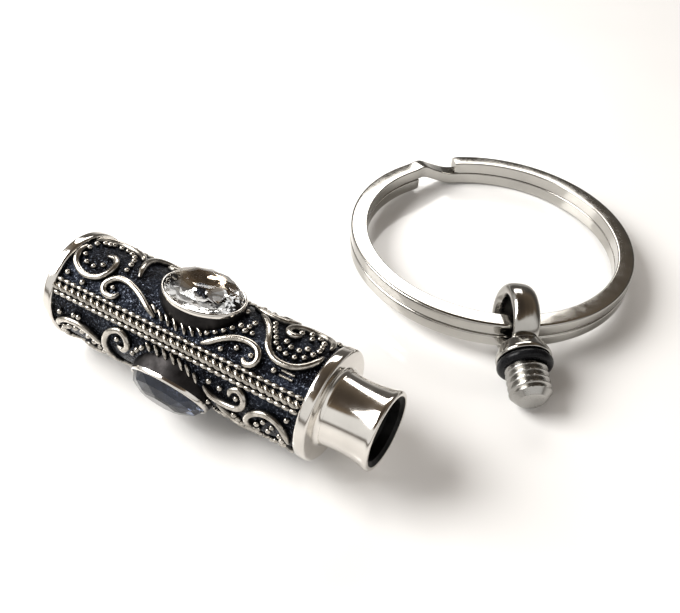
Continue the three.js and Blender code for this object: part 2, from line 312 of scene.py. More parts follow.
class Nodes:
    """A short way to write a material's nodes. Methods take and give sockets."""

    def __init__(self, name, metallic=0.0):
        self.material = bpy.data.materials.new(name)
        self.material.use_nodes = True
        self.tree = self.material.node_tree
        self.shader = self.tree.nodes["Principled BSDF"]
        self.shader.inputs["Metallic"].default_value = metallic

    def add(self, kind, **settings):
        """A node of a kind, with its inputs or its properties set by name."""
        node = self.tree.nodes.new("ShaderNode" + kind)
        for key, value in settings.items():
            if key in node.inputs:
                node.inputs[key].default_value = value
            else:
                setattr(node, key, value)
        return node

    def link(self, source, target):
        """Joins a socket to a node's input."""
        self.tree.links.new(source, target)

    def drive(self, name, source):
        """Joins a socket to one of the shader's inputs."""
        self.link(source, self.shader.inputs[name])

    def place(self):
        """The point's place in the piece's own space, in metres."""
        return self.add("TexCoord").outputs["Object"]

    def noise(self, scale, detail, roughness=0.55):
        """Cloudy noise from 0 to 1, its scale in clouds per metre."""
        node = self.add("TexNoise", Scale=scale, Detail=detail, Roughness=roughness)
        self.link(self.place(), node.inputs["Vector"])
        return node.outputs["Fac"]

    def cells(self, scale):
        """The distance to the nearest of many scattered points, their scale in points per metre."""
        node = self.add("TexVoronoi", Scale=scale)
        self.link(self.place(), node.inputs["Vector"])
        return node.outputs["Distance"]

    def ramp(self, source, *stops):
        """A colour from a value, by (position, colour) stops."""
        return colour_ramp(self.tree, source, stops)

    def remap(self, source, low, high, to_low, to_high):
        """A value carried from one range to another."""
        node = self.add("MapRange")
        for key, value in (("From Min", low), ("From Max", high), ("To Min", to_low), ("To Max", to_high)):
            node.inputs[key].default_value = value
        self.link(source, node.inputs["Value"])
        return node.outputs["Result"]

    def mix(self, factor, first, second):
        """A mix of two colours, each a colour or a socket."""
        node = self.add("Mix", data_type="RGBA")
        self.link(factor, node.inputs[MIX_FACTOR])
        for socket, value in ((node.inputs[MIX_FIRST], first), (node.inputs[MIX_SECOND], second)):
            if isinstance(value, tuple):
                socket.default_value = (*value, 1)
            else:
                self.link(value, socket)
        return node.outputs[MIX_RESULT]

    def math(self, operation, first, second=0.0):
        """An arithmetic operation on one or two values, each a number or a socket."""
        node = self.add("Math", operation=operation)
        for socket, value in zip(node.inputs, (first, second)):
            if isinstance(value, (int, float)):
                socket.default_value = value
            else:
                self.link(value, socket)
        return node.outputs["Value"]

    def bump(self, source, strength, distance):
        """Fine relief on the shader, its height in metres."""
        node = self.add("Bump", Strength=strength, Distance=distance)
        self.link(source, node.inputs["Height"])
        self.link(node.outputs["Normal"], self.shader.inputs["Normal"])

    def axis_distance(self):
        """How far a point is from the capsule's axis, in millimetres."""
        split = self.add("SeparateXYZ")
        self.link(self.place(), split.inputs["Vector"])
        across = self.math("SUBTRACT", split.outputs["Y"], ORIGIN.y * MM)
        upward = self.math("SUBTRACT", split.outputs["Z"], ORIGIN.z * MM)
        squares = self.math("ADD", self.math("POWER", across, 2.0), self.math("POWER", upward, 2.0))
        return self.math("MULTIPLY", self.math("SQRT", squares), 1 / MM)


def polished_metal(name, tint, roughness, wear):
    """Bright metal with fine polishing lines, faint smears and a little uneven gloss."""
    n = Nodes(name, metallic=1)
    dark = tuple(c * 0.86 for c in tint)
    n.drive("Base Color", n.ramp(n.noise(260, 5), (0.35, dark), (0.62, tint)))
    n.drive("Roughness", n.remap(n.noise(900, 6, 0.6), 0.3, 0.7, roughness, roughness + wear))
    stretch = n.add("Mapping")
    stretch.inputs["Scale"].default_value = (1, 14, 14)
    n.link(n.place(), stretch.inputs["Vector"])
    lines = n.add("TexNoise", Scale=900.0, Detail=3.0)
    n.link(stretch.outputs["Vector"], lines.inputs["Vector"])
    n.bump(lines.outputs["Fac"], 0.06, 0.00002)
    return n.material


def wirework_metal(name, black_to, bright_from):
    """Silver that is polished where it stands proud and blackened where it meets the ground."""
    n = Nodes(name, metallic=1)
    unevenness = 0.3
    ragged = n.math("MULTIPLY", n.noise(2600, 4), unevenness)
    level = n.math("ADD", n.axis_distance(), ragged)
    height = n.remap(level, black_to + unevenness / 2, bright_from + unevenness / 2, 0.0, 1.0)
    silver = n.ramp(n.noise(1500, 3), (0.3, (0.26, 0.24, 0.21)), (0.7, (0.62, 0.585, 0.53)))
    n.drive("Base Color", n.mix(height, (0.012, 0.012, 0.013), silver))
    n.drive("Roughness", n.remap(height, 0.0, 1.0, 0.5, 0.2))
    n.bump(n.noise(4200, 3), 0.18, 0.00003)
    return n.material


def blackened_ground():
    """The ground of the ornament: dark, stippled, with a bluish sheen and a few bright grains that are
    painted glints.
    """
    n = Nodes("oxidised_ground", metallic=1)
    grain = n.noise(5200, 5, 0.7)
    dark = n.ramp(n.noise(420, 3), (0.4, (0.003, 0.003, 0.004)), (0.7, (0.014, 0.017, 0.025)))
    # Painted glints: the brightest stipple grains are coloured pale blue to stand in for glints.
    painted_glints = n.add("RGBToBW")
    n.link(n.ramp(grain, (0.55, (0, 0, 0)), (0.68, (1, 1, 1))), painted_glints.inputs["Color"])
    n.drive("Base Color", n.mix(painted_glints.outputs["Val"], dark, (0.19, 0.215, 0.27)))
    n.drive("Roughness", n.remap(grain, 0.3, 0.75, 0.5, 0.24))
    n.bump(n.math("ADD", grain, n.math("MULTIPLY", n.cells(5200), 0.8)), 1.0, 0.00007)
    return n.material


def stone_glass(name, low, high, index):
    """A clear or tinted stone, its colour wandering a little between two tones."""
    n = Nodes(name)
    n.shader.inputs["Transmission Weight"].default_value = 1
    n.shader.inputs["IOR"].default_value = index
    n.drive("Base Color", n.ramp(n.noise(240, 2), (0.3, low), (0.7, high)))
    n.drive("Roughness", n.remap(n.noise(1400, 4), 0.45, 0.75, 0.0, 0.05))
    n.bump(n.noise(700, 2), 0.02, 0.00002)
    return n.material


def foil_metal(name, low, high):
    """The crinkled foil under a stone, its colour wandering between two tones."""
    n = Nodes(name, metallic=1)
    n.drive("Base Color", n.ramp(n.noise(900, 3), (0.3, low), (0.7, high)))
    n.drive("Roughness", n.remap(n.noise(1500, 3), 0.3, 0.7, 0.04, 0.14))
    n.bump(n.noise(500, 2), 0.15, 0.0001)
    return n.material


def dark_metal(name, tone, roughness):
    """Dark metal with a faint uneven sheen: blackened silver for the bezel cups, and painted shade in the
    neck's bore and the eye's hole.
    """
    n = Nodes(name, metallic=1)
    faint = tuple(c * 2.4 for c in tone)
    n.drive("Base Color", n.ramp(n.noise(700, 5), (0.35, tone), (0.75, faint)))
    n.drive("Roughness", n.remap(n.noise(1600, 4), 0.3, 0.7, roughness, roughness + 0.2))
    n.bump(n.noise(3000, 4), 0.25, 0.00004)
    return n.material


def seal_rubber():
    """Dull black rubber."""
    n = Nodes("black_rubber")
    black, grey = (0.003, 0.003, 0.004), (0.009, 0.009, 0.010)
    n.drive("Base Color", n.ramp(n.noise(1200, 4), (0.3, black), (0.75, grey)))
    n.shader.inputs["Specular IOR Level"].default_value = 0.14
    n.drive("Roughness", n.remap(n.noise(2400, 4), 0.3, 0.7, 0.20, 0.34))
    n.bump(n.noise(3800, 4), 0.12, 0.00003)
    return n.material


STEEL = polished_metal("polished_steel", (0.47, 0.455, 0.425), 0.08, 0.10)
# The stud's steel is a darker, rougher copy of the polished steel; its darkness is painted shade for the
# shadowed table it reflects.
STUD_PAINTED_SHADE = polished_metal("stud_steel_painted_shade", (0.40, 0.39, 0.37), 0.16, 0.14)
SILVER = polished_metal("bright_silver", (0.74, 0.71, 0.665), 0.06, 0.09)
WIREWORK = wirework_metal("wirework_silver", 4.7, 4.94)
GRAINWORK = wirework_metal("granule_silver", 4.58, 4.74)
GROUND = blackened_ground()
STONE = stone_glass("clear_stone", (0.93, 0.95, 0.97), (1, 1, 1), 1.62)
# A darkened copy of the stone glass for the front stone: painted shade for the shadowed table it mirrors.
STONE_PAINTED_SHADE = stone_glass("stone_painted_shade", (0.003, 0.004, 0.007), (0.035, 0.042, 0.06), 1.4)
FOIL = foil_metal("silver_foil", (0.34, 0.27, 0.19), (0.54, 0.45, 0.34))
# A darkened copy of the silver foil for the front stone: painted shade.
FOIL_PAINTED_SHADE = foil_metal("foil_painted_shade", (0.010, 0.012, 0.020), (0.05, 0.055, 0.075))
RUBBER = seal_rubber()
PATINA = dark_metal("cup_patina", (0.014, 0.013, 0.013), 0.38)
# Painted shade for the deep shadow inside the neck's mouth.
BORE_PAINTED_SHADE = dark_metal("bore_painted_shade", (0.012, 0.012, 0.012), 0.45)
EYE_SHADE = dark_metal("eye_shade", (0.035, 0.034, 0.032), 0.22)

# ---------------------------------------------------------------- capsule


def base_and_shoulder():
    """The two polished bands at the ends of the barrel, their outer edges rounded over."""
    end = RELIEF_START - CAP_GAP
    profile = rounded([(0, 0), (0, BAND_RADIUS), (end, BAND_RADIUS), (end, SPIGOT_RADIUS),
                       (CAP_FLOOR, SPIGOT_RADIUS), (CAP_FLOOR, 0)], 0.28, 6)
    verts, faces = turned(profile, CAPSULE_PLACE, CAP_SEGMENTS)
    make_object("base_cap_polished", verts, faces, "capsule", SILVER, ["base_cap"])
    start = RELIEF_END + CAP_GAP
    outline = rounded([(start, SHOULDER_BORE), (start, BAND_RADIUS), (BODY_END, BAND_RADIUS),
                       (BODY_END, SHOULDER_BORE)], 0.34, 6)
    verts, faces = turned(outline, CAPSULE_PLACE, CAP_SEGMENTS, closed=True)
    make_object("shoulder_cap_polished", verts, faces, "capsule", SILVER, ["shoulder_cap"])


def neck():
    """The waisted neck with its flared lip, the seal's seat in its mouth and a real thread behind it."""
    start = BODY_END - NECK_TAIL
    outside = [(start, NECK_TAIL_RADIUS), (BODY_END + 0.02, NECK_TAIL_RADIUS), (BODY_END + 0.2, NECK_RADIUS)]
    waist = []
    for k in range(1, WAIST_STEPS + 1):
        t = k / WAIST_STEPS
        radius = NECK_RADIUS - NECK_WAIST * math.sin(math.pi * t ** 0.8) + NECK_FLARE * t ** 4
        waist.append((BODY_END + 0.2 + t * (MOUTH - BODY_END - 0.6), radius))
    lip = [(MOUTH - 0.26, 3.535), (MOUTH - 0.13, 3.51), (MOUTH - 0.04, 3.44), (MOUTH, 3.35), (MOUTH, 3.2),
           (MOUTH - 0.03, 3.13), (MOUTH - 0.1, 3.08)]
    seat = [(MOUTH - 0.32, 2.74), (MOUTH - 1.15, 2.68), (MOUTH - 1.35, 2.45), (MOUTH - 2.9, 2.45)]
    segments, rows = 96, 90
    verts, faces = turned(outside + waist + lip + seat, CAPSULE_PLACE, segments)
    first = len(verts)
    end = MOUTH - 2.97
    for i in range(rows):
        x = end + (start - end) * i / (rows - 1)
        for j in range(segments):
            turn = (x / THREAD_PITCH - j / segments) % 1
            depth = 1 - abs(2 * turn - 1)
            radius = NECK_CREST + (NECK_ROOT - NECK_CREST) * depth
            verts.append(ORIGIN + polar(x, radius, 2 * math.pi * j / segments))
    faces += shifted(grid_faces(rows, segments), first)
    before = first - segments
    last = first + (rows - 1) * segments
    for j in range(segments):
        k = (j + 1) % segments
        faces.append((before + j, before + k, first + k, first + j))
        faces.append((last + j, last + k, k, j))
    piece = make_object("neck_tube_polished", verts, faces, "capsule", SILVER, ["neck_tube"])
    piece.data.materials.append(BORE_PAINTED_SHADE)
    # The bore inside the lip takes painted shade: a dark material standing in for the deep shadow in the
    # mouth.
    within_the_lip = 3.12
    for polygon in piece.data.polygons:
        centre = polygon.center / MM - ORIGIN
        if math.hypot(centre.y, centre.z) < within_the_lip and centre.x < MOUTH - 0.06:
            polygon.material_index = 1


def solder_fillet():
    """The concave fillet of solder at the neck's root, with one small lump left on it."""
    verts = []
    segments, steps = 128, 12
    sunk, inner = -0.04, 3.25
    for i in range(segments):
        angle = 2 * math.pi * i / segments
        lump = math.exp(-((angle - 1.9) / 0.3) ** 2)
        size = 0.42 + 0.06 * noise.noise(Vector((math.cos(angle), math.sin(angle), 0)) * 2.5) + 0.16 * lump
        outline = [(sunk, inner), (sunk, NECK_RADIUS + size)]
        for k in range(steps + 1):
            turn = math.pi / 2 * k / steps
            outline.append((size * (1 - math.cos(turn)), NECK_RADIUS + size * (1 - math.sin(turn))))
        outline.append((size, inner))
        verts += [ORIGIN + polar(BODY_END + x, radius, angle) for x, radius in outline]
    faces = grid_faces(segments, len(outline), closed_rows=True)
    make_object("neck_solder", verts, faces, "capsule", SILVER)


def ground_skin():
    """The sleeve's stippled outside, a closed tube."""
    rows, segments = 220, 260
    verts = []
    for i in range(rows):
        x = RELIEF_START + (RELIEF_END - RELIEF_START) * i / (rows - 1)
        for j, point in enumerate(hoop(x, GROUND_RADIUS, segments)):
            radius = GROUND_RADIUS + 0.05 * noise.noise(point * 4) + 0.03 * noise.noise(point * 9)
            verts.append(ORIGIN + polar(x, radius, 2 * math.pi * j / segments))
    for x in (RELIEF_END, RELIEF_START):
        verts += [ORIGIN + point for point in hoop(x, SLEEVE_BORE, segments)]
    faces = grid_faces(rows + 2, segments, closed_rows=True)
    make_object("filigree_ground", verts, faces, "capsule", GROUND,
                ["filigree_sleeve"], 180)


def reservoir():
    """Shows the CAD model's own tube, in bright silver."""
    tube = frame["nodes"]["reservoir_tube"]
    tube.data.materials.clear()
    tube.data.materials.append(SILVER)


# ---------------------------------------------------------------- wirework

# Each scroll's middle line in (x, s), named after the CAD wire that it stands for.
SCROLLS = {
    "base_c": [(1.35, 0.3), (1.3, 1.3), (1.75, 2.3), (2.7, 2.9), (3.7, 3.05), (4.7, 2.7), (5.25, 1.9),
               (5.2, 1.0), (4.6, 0.45), (3.85, 0.5)],
    "base_s": [(11.4, 3.75), (10.3, 3.2), (9.3, 2.65), (8.3, 2.25), (7.3, 2.0), (6.3, 2.15), (5.68, 2.8),
               (5.65, 3.4), (6.15, 3.78), (6.9, 3.72), (7.3, 3.25)],
    "base_arc": [(1.35, -0.75), (1.75, -1.6), (2.7, -2.15), (4.0, -2.3), (5.2, -2.05), (6.0, -1.6),
                 (6.5, -1.1)],
    "base_crook": [(7.9, 1.1), (7.45, 0.2), (7.1, -0.8), (7.05, -2.0), (7.5, -3.1), (8.5, -3.7),
                   (9.3, -3.45), (9.65, -2.7), (9.2, -2.05), (8.5, -2.1)],
    "mouth_hook": [(16.3, 3.92), (17.0, 3.5), (17.9, 2.8), (18.9, 2.3), (20.0, 2.12), (20.95, 2.35),
                   (21.45, 3.0), (21.3, 3.6), (20.7, 3.85), (20.2, 3.5)],
    "mouth_s": [(18.95, -1.3), (19.7, -0.8), (20.5, 0.0), (21.1, 0.9), (21.6, 1.75), (22.4, 2.35),
                (23.3, 2.55), (24.4, 2.4), (25.3, 1.85), (25.85, 1.1), (26.0, 0.4)],
    "mouth_crook": [(17.6, -2.6), (18.4, -2.0), (19.6, -1.8), (20.9, -2.0), (21.55, -2.6), (21.55, -3.35),
                    (20.95, -3.8), (20.3, -3.5), (20.15, -2.9)],
    "mouth_c": [(23.2, -0.8), (22.7, -0.35), (22.1, -0.5), (21.9, -1.2), (22.2, -2.0), (22.95, -2.65),
                (23.9, -2.9), (24.95, -2.6), (25.7, -1.75), (25.95, -0.75)],
}
SCROLL_SECTION = [(-0.24, -0.26), (-0.25, 0.08), (-0.22, 0.21), (-0.13, 0.28), (0.0, 0.30), (0.13, 0.28),
                  (0.22, 0.21), (0.25, 0.08), (0.24, -0.26)]
SCROLL_TAPER = 0.10


def scroll_wires(panel):
    """The panel's scrolls: flat-sided wires with a rounded, polished top, drawn out thin at their ends."""
    number = panel + 1
    for name, outline in SCROLLS.items():
        curve = catmull(outline, 9)
        points = [barrel(panel, x, s, RELIEF_HEIGHT) for x, s in curve]
        ups = [outward(panel, s) for x, s in curve]
        last = len(curve) - 1
        scale = []
        for i in range(last + 1):
            near_end = min(i, last - i) / last
            scale.append(0.45 + 0.55 * min(1, near_end / SCROLL_TAPER) ** 0.7
                         + 0.12 * math.sin(math.pi * i / last))
        verts, faces = sweep(points, ups, SCROLL_SECTION, scale)
        make_object(f"{name}_wire_{number}", verts, faces, "capsule", WIREWORK,
                    [f"{name}_scroll_{number}"], 60)


ROPE_HEIGHT = 4.76
ROPE_PITCH = 1.44
ROPE_LAY = 0.18
ROPE_STRAND = 0.2
ROPE_STEP = 0.07
BEAD_HEIGHT = 4.75
BEAD_PITCH = 0.72
BEAD_RADIUS = 0.21
BEAD_ROW = 0.6
BEAD_STEPS = 10


def ridge(panel):
    """A rope of two twisted wires between two rows of beaded wire, half way between two stones."""
    middle = RELIEF_HEIGHT * math.pi / PANELS
    number = panel + 1
    length = RELIEF_END - RELIEF_START
    strands = []
    count = int(length / ROPE_STEP)
    for half_turn in (0, math.pi):
        points, ups = [], []
        for i in range(count + 1):
            x = RELIEF_START + length * i / count
            turn = -2 * math.pi * x / ROPE_PITCH + half_turn
            s = middle + ROPE_LAY * math.cos(turn)
            points.append(barrel(panel, x, s, ROPE_HEIGHT + ROPE_LAY * math.sin(turn)))
            ups.append(outward(panel, s))
        strands.append(sweep(points, ups, circle_section(ROPE_STRAND, 8)))
    verts, faces = merge(strands)
    make_object(f"rope_{number}", verts, faces, "capsule", WIREWORK,
                [f"ridge_rope_{number}"], 60)
    for side, letter in ((-1, "a"), (1, "b")):
        count = int(length / BEAD_PITCH) * BEAD_STEPS
        s = middle + side * BEAD_ROW
        points, scale = [], []
        for i in range(count + 1):
            points.append(barrel(panel, RELIEF_START + length * i / count, s, BEAD_HEIGHT))
            scale.append(0.45 + 0.55 * abs(math.sin(math.pi * i / BEAD_STEPS)) ** 0.6)
        ups = [outward(panel, s)] * (count + 1)
        verts, faces = sweep(points, ups, circle_section(BEAD_RADIUS, 10), scale)
        make_object(f"beads_{letter}_{number}", verts, faces, "capsule", WIREWORK,
                    [f"ridge_bead_{letter}_{number}"], 60)


def ball(centre, radius):
    """A small round grain."""
    rings, sides = 7, 10
    verts = [centre + Vector((radius, 0, 0))]
    for i in range(1, rings):
        x, r = radius * math.cos(math.pi * i / rings), radius * math.sin(math.pi * i / rings)
        verts += [centre + point for point in hoop(x, r, sides)]
    verts.append(centre - Vector((radius, 0, 0)))
    end = len(verts) - 1
    faces = []
    for k in range(sides):
        m = (k + 1) % sides
        faces.append((0, 1 + k, 1 + m))
        faces.append((end, end - sides + m, end - sides + k))
    return verts, faces + shifted(grid_faces(rings - 1, sides), 1)


# The smallest and largest grain, and each grain's place in (x, s).
GRANULE_RADII = (0.245, 0.285)
GRANULES = (
    (4.2, 1.57), (3.5, 2.05), (2.65, 1.95), (1.95, 1.3), (1.68, 0.45), (1.75, -0.35), (2.15, -1.0),
    (2.85, -1.42), (3.6, -1.55), (4.35, -1.55), (5.0, -1.3), (5.6, -0.9), (6.02, -0.35),
    (6.25, 0.3), (6.38, 1.0), (6.42, 3.02), (1.65, 3.5), (3.5, 3.75),
    (19.3, 0.25), (19.15, 0.85), (19.1, 1.4), (19.75, 1.3), (18.5, 1.1), (18.0, 1.65), (17.5, 2.15),
    (16.95, 2.6), (16.35, 2.95), (20.6, -0.83), (20.9, -0.33), (21.25, 0.15), (21.62, 0.65), (21.95, 1.15),
    (22.5, 1.5), (23.2, 1.65), (24.0, 1.6), (24.7, 1.25), (25.15, 0.65), (25.35, 0.0), (25.25, -0.6),
    (22.6, 0.55), (23.2, 0.9), (23.95, 0.85), (24.45, 0.35), (23.1, 3.3), (20.75, 3.05), (19.35, 3.0),
    (18.15, 3.62),
    (1.9, -2.6), (4.1, -3.0), (8.4, -2.75), (10.2, -2.2), (10.65, -2.75), (11.15, -3.2), (18.1, -3.3),
    (19.2, -3.15), (20.85, -2.95), (25.6, -3.3), (22.9, -1.3), (23.55, -1.95), (24.4, -1.85), (25.1, -1.2),
    (24.0, -1.1), (2.6, -1.15), (3.5, -2.95), (17.3, -1.2), (17.9, -0.7),
)


def granules(panel):
    """The panel's grains, no two quite of one size, sunk a quarter of their radius into the ground."""
    parts = []
    for x, s in GRANULES:
        radius = random.uniform(*GRANULE_RADII)
        parts.append(ball(barrel(panel, x, s, GROUND_RADIUS + 0.75 * radius), radius))
    verts, faces = merge(parts)
    make_object(f"granules_{panel + 1}", verts, faces, "capsule", GRAINWORK, (), 180)


DASH_SECTION = [(-0.15, -0.2), (-0.15, 0.04), (-0.1, 0.17), (0.0, 0.22), (0.1, 0.17), (0.15, 0.04),
                (0.15, -0.2)]
# Each dash: its middle (x, s), and how far it reaches from there along the barrel and round it.
DASHES = (
    (10.95, 3.1, 0.38, 0.24), (11.77, 3.4, 0.38, 0.34), (12.57, 3.5, 0.37, 0.38), (13.4, 3.54, 0.37, 0.4),
    (14.25, 3.52, 0.37, 0.38), (15.03, 3.42, 0.37, 0.32), (15.7, 3.18, 0.34, 0.24),
    (11.75, -3.55, 0.24, 0.34), (12.6, -3.6, 0.26, 0.42), (13.45, -3.62, 0.27, 0.45),
    (14.3, -3.58, 0.27, 0.46), (15.1, -3.46, 0.27, 0.46), (15.9, -3.26, 0.24, 0.46),
    (16.7, -2.9, 0.17, 0.42),
)


def dashes(panel):
    """The leaf-shaped strokes between each bezel and its ridges, and two short wavy wires near the mouth."""
    parts = []
    for x, s, along, around in DASHES:
        curve = catmull([(x - along, s - around), (x + 0.06, s - 0.04), (x + along, s + around)], 6)
        points = [barrel(panel, a, b, RELIEF_HEIGHT) for a, b in curve]
        ups = [outward(panel, b) for a, b in curve]
        last = len(curve) - 1
        scale = [0.25 + 0.75 * math.sin(math.pi * (0.12 + 0.8 * k / last)) ** 0.7 for k in range(last + 1)]
        parts.append(sweep(points, ups, DASH_SECTION, scale))
    for offset in (0, 0.42):
        curve = [(23.7 + 0.2 * k, 2.98 + offset + 0.03 * math.sin(3 * k)) for k in range(7)]
        parts.append(sweep([barrel(panel, a, b, RELIEF_HEIGHT - 0.05) for a, b in curve],
                           [outward(panel, b) for a, b in curve], DASH_SECTION, [0.75] * 7))
    verts, faces = merge(parts)
    make_object(f"rope_dashes_{panel + 1}", verts, faces, "capsule", GRAINWORK, (), 60)


# ---------------------------------------------------------------- stones


def panel_point(panel, x, across, height):
    """A point in a panel's flat frame: height along the stone's outward line, across square to it."""
    angle = panel_angle(panel)
    sideways = Vector((0, -math.sin(angle), math.cos(angle)))
    return ORIGIN + Vector((x, 0, 0)) + polar(0, 1, angle) * height + sideways * across


def oval_loop(panel, outline):
    """Carries an (offset, height) outline round the stone's oval, with a little hammered unevenness."""
    verts = []
    sides = 96
    for i in range(sides):
        angle = 2 * math.pi * i / sides
        wave = 0.012 * math.sin(5 * angle + panel) + 0.008 * math.sin(11 * angle)
        for offset, height in outline:
            x = STONE_X + (STONE_HALF[0] + offset + wave) * math.cos(angle)
            verts.append(panel_point(panel, x, (STONE_HALF[1] + offset + wave) * math.sin(angle), height))
    return verts, grid_faces(sides, len(outline), closed_rows=True)


def bezel(panel):
    """The oval cup: blackened low down, with a bright thin edge burnished over the stone."""
    number = panel + 1
    wall = [(0.30, 3.1), (0.32, 4.1), (0.27, 4.7), (0.22, 4.98), (0.05, 4.98), (0.03, 4.30), (-1.2, 4.26),
            (-1.2, 3.7)]
    verts, faces = oval_loop(panel, wall)
    make_object(f"bezel_wall_{number}", verts, faces, "capsule", PATINA,
                [f"bezel_cup_{number}"], 50)
    rim = [(0.20, 4.86), (0.20, 5.14), (0.17, 5.28), (0.11, 5.36), (0.03, 5.36), (-0.03, 5.29), (-0.03, 5.2),
           (0.02, 5.1), (0.04, 4.86)]
    verts, faces = oval_loop(panel, rim)
    make_object(f"bezel_rim_{number}", verts, faces, "capsule", SILVER, (), 60)


# Each tier of a stone's corners: height, share of the stone's oval, turn in corners, number of corners.
STONE_TIERS = ((4.47, 0.10, 0.0, 8), (4.66, 0.48, 0.5, 8), (5.14, 0.985, 0.0, 24), (5.27, 0.985, 0.0, 24),
               (6.02, 0.85, 0.5, 12), (6.47, 0.58, 0.0, 8), (STONE_TOP, 0.44, 0.0, 8))
FOIL_GAP = 0.02
FOIL_DEPTH = 0.06


def faces_down(face):
    """Whether a stone's facet belongs to its pavilion."""
    return face.normal.z < -0.02


def stone(panel):
    """A cut oval stone, with pavilion, girdle, a crown in tiers and a table, over foil of its shape."""
    # The front panel's stone and foil get darkened copies of their materials: painted shade.
    shade_painted = panel == FRONT_PANEL
    bm = bmesh.new()
    for height, share, turn, count in STONE_TIERS:
        for i in range(count):
            angle = 2 * math.pi * (i + turn) / count
            bm.verts.new((STONE_X + share * STONE_HALF[0] * math.cos(angle),
                          share * STONE_HALF[1] * math.sin(angle), height))
    hull = bmesh.ops.convex_hull(bm, input=bm.verts)
    bmesh.ops.delete(bm, geom=hull["geom_unused"] + hull["geom_interior"], context="VERTS")
    bmesh.ops.dissolve_limit(bm, angle_limit=math.radians(1.5), verts=bm.verts, edges=bm.edges)
    bm.normal_update()
    bm.verts.index_update()
    number = panel + 1
    verts = [panel_point(panel, *v.co) for v in bm.verts]
    faces = [tuple(v.index for v in face.verts) for face in bm.faces]
    make_object(f"stone_{number}", verts, faces, "capsule",
                STONE_PAINTED_SHADE if shade_painted else STONE, [f"crystal_{number}"], 0)
    under = [face for face in bm.faces if faces_down(face)]
    used = sorted({v.index for face in under for v in face.verts})
    place = {index: k for k, index in enumerate(used)}
    bm.verts.ensure_lookup_table()
    top = [bm.verts[index].co for index in used]
    verts = [panel_point(panel, c.x, c.y, c.z - drop) for drop in (FOIL_GAP, FOIL_DEPTH) for c in top]
    faces = [tuple(place[v.index] for v in face.verts) for face in under]
    faces += [tuple(len(top) + i for i in reversed(face)) for face in faces]
    for edge in bm.edges:
        if sum(map(faces_down, edge.link_faces)) == 1:
            a, b = (place[v.index] for v in edge.verts)
            faces.append((a, b, len(top) + b, len(top) + a))
    bm.free()
    make_object(f"foil_{number}", verts, faces, "capsule",
                FOIL_PAINTED_SHADE if shade_painted else FOIL, [f"foil_back_{number}"], 0)


# ---------------------------------------------------------------- key ring and plug


def split_ring():
    """Flat wire, two coils, cranked up where the second coil starts on top of the first."""
    w, h = RING_WIRE[0] / 2, RING_WIRE[1] / 2
    corners = [(w, 0), (w, h), (-w, h), (-w, -h), (w, -h), (w, 0)]
    section = []
    for i, corner_radius in enumerate((0.62, 0.16, 0.16, 0.62)):
        section += rounded(corners[i:i + 3], corner_radius, 7)[1:-1]
    turn_to = Vector((0, 0, 1)).rotation_difference(RING_NORMAL).to_matrix()
    centre = TABLE_ORIGIN + RING_CENTRE
    radius = RING_RADIUS - w
    low, high = RING_CRANK + RING_GAP, 4 * math.pi - RING_CRANK - RING_GAP
    verts = []
    for i in range(RING_STEPS + 1):
        turn = low + (high - low) * i / RING_STEPS
        t = (turn - 2 * math.pi + RING_CRANK) / (2 * RING_CRANK)
        rise = (soft_step(t) - 0.5) * RING_PITCH
        knee = KNEE_OUT * math.exp(-((t - 1.0) / 0.28) ** 2)
        angle = turn + RING_SPLIT
        out = Vector((math.cos(angle), math.sin(angle), 0))
        near_end = min(i, RING_STEPS - i)
        size = 1 - 0.10 * max(0, 1 - near_end / 2)
        for a, b in section:
            height = rise + b * size + (KNEE_UP * knee / KNEE_OUT if b > 0 else 0)
            verts.append(centre + turn_to @ (out * (radius + knee + a * size) + Vector((0, 0, height))))
    faces = capped_faces(RING_STEPS + 1, len(section))
    make_object("key_ring_wire", verts, faces, "key_ring", STEEL, ["split_ring"], 50)


def soft_step(t):
    """Climbs from 0 to 1 in a straight line with short bends at its ends."""
    t = min(1 + CRANK_BEND, max(-CRANK_BEND, t))
    if t < CRANK_BEND:
        return (t + CRANK_BEND) ** 2 / (4 * CRANK_BEND) if t > -CRANK_BEND else 0.0
    if t > 1 - CRANK_BEND:
        return 1 - (1 + CRANK_BEND - t) ** 2 / (4 * CRANK_BEND)
    return t


def plug_place():
    """The plug's frame: its tip at the origin, its stud pointing along +x, and its eye's plane x and z."""
    along = PLUG_AXIS
    across = Vector((0, 0, 1)).cross(along).normalized()
    up = along.cross(across)
    place = Matrix((along, across, up)).transposed().to_4x4()
    place.translation = SEAL_MIDDLE + along * SEAL_BACK
    return place


# The stud and collar: radii, and places along the plug's axis back from the tip.
STUD_LENGTH = 3.24
STUD_CREST = 1.97
STUD_ROOT = 1.58
STUD_TIP = 1.28
STUD_CHAMFER = 0.72
GROOVE_FACE = -3.1
GROOVE_RADIUS = 1.56
COLLAR_FACE = -4.30
COLLAR_BACK = -5.85
COLLAR_ROOT = COLLAR_BACK - 0.2
COLLAR_RADIUS = 2.62


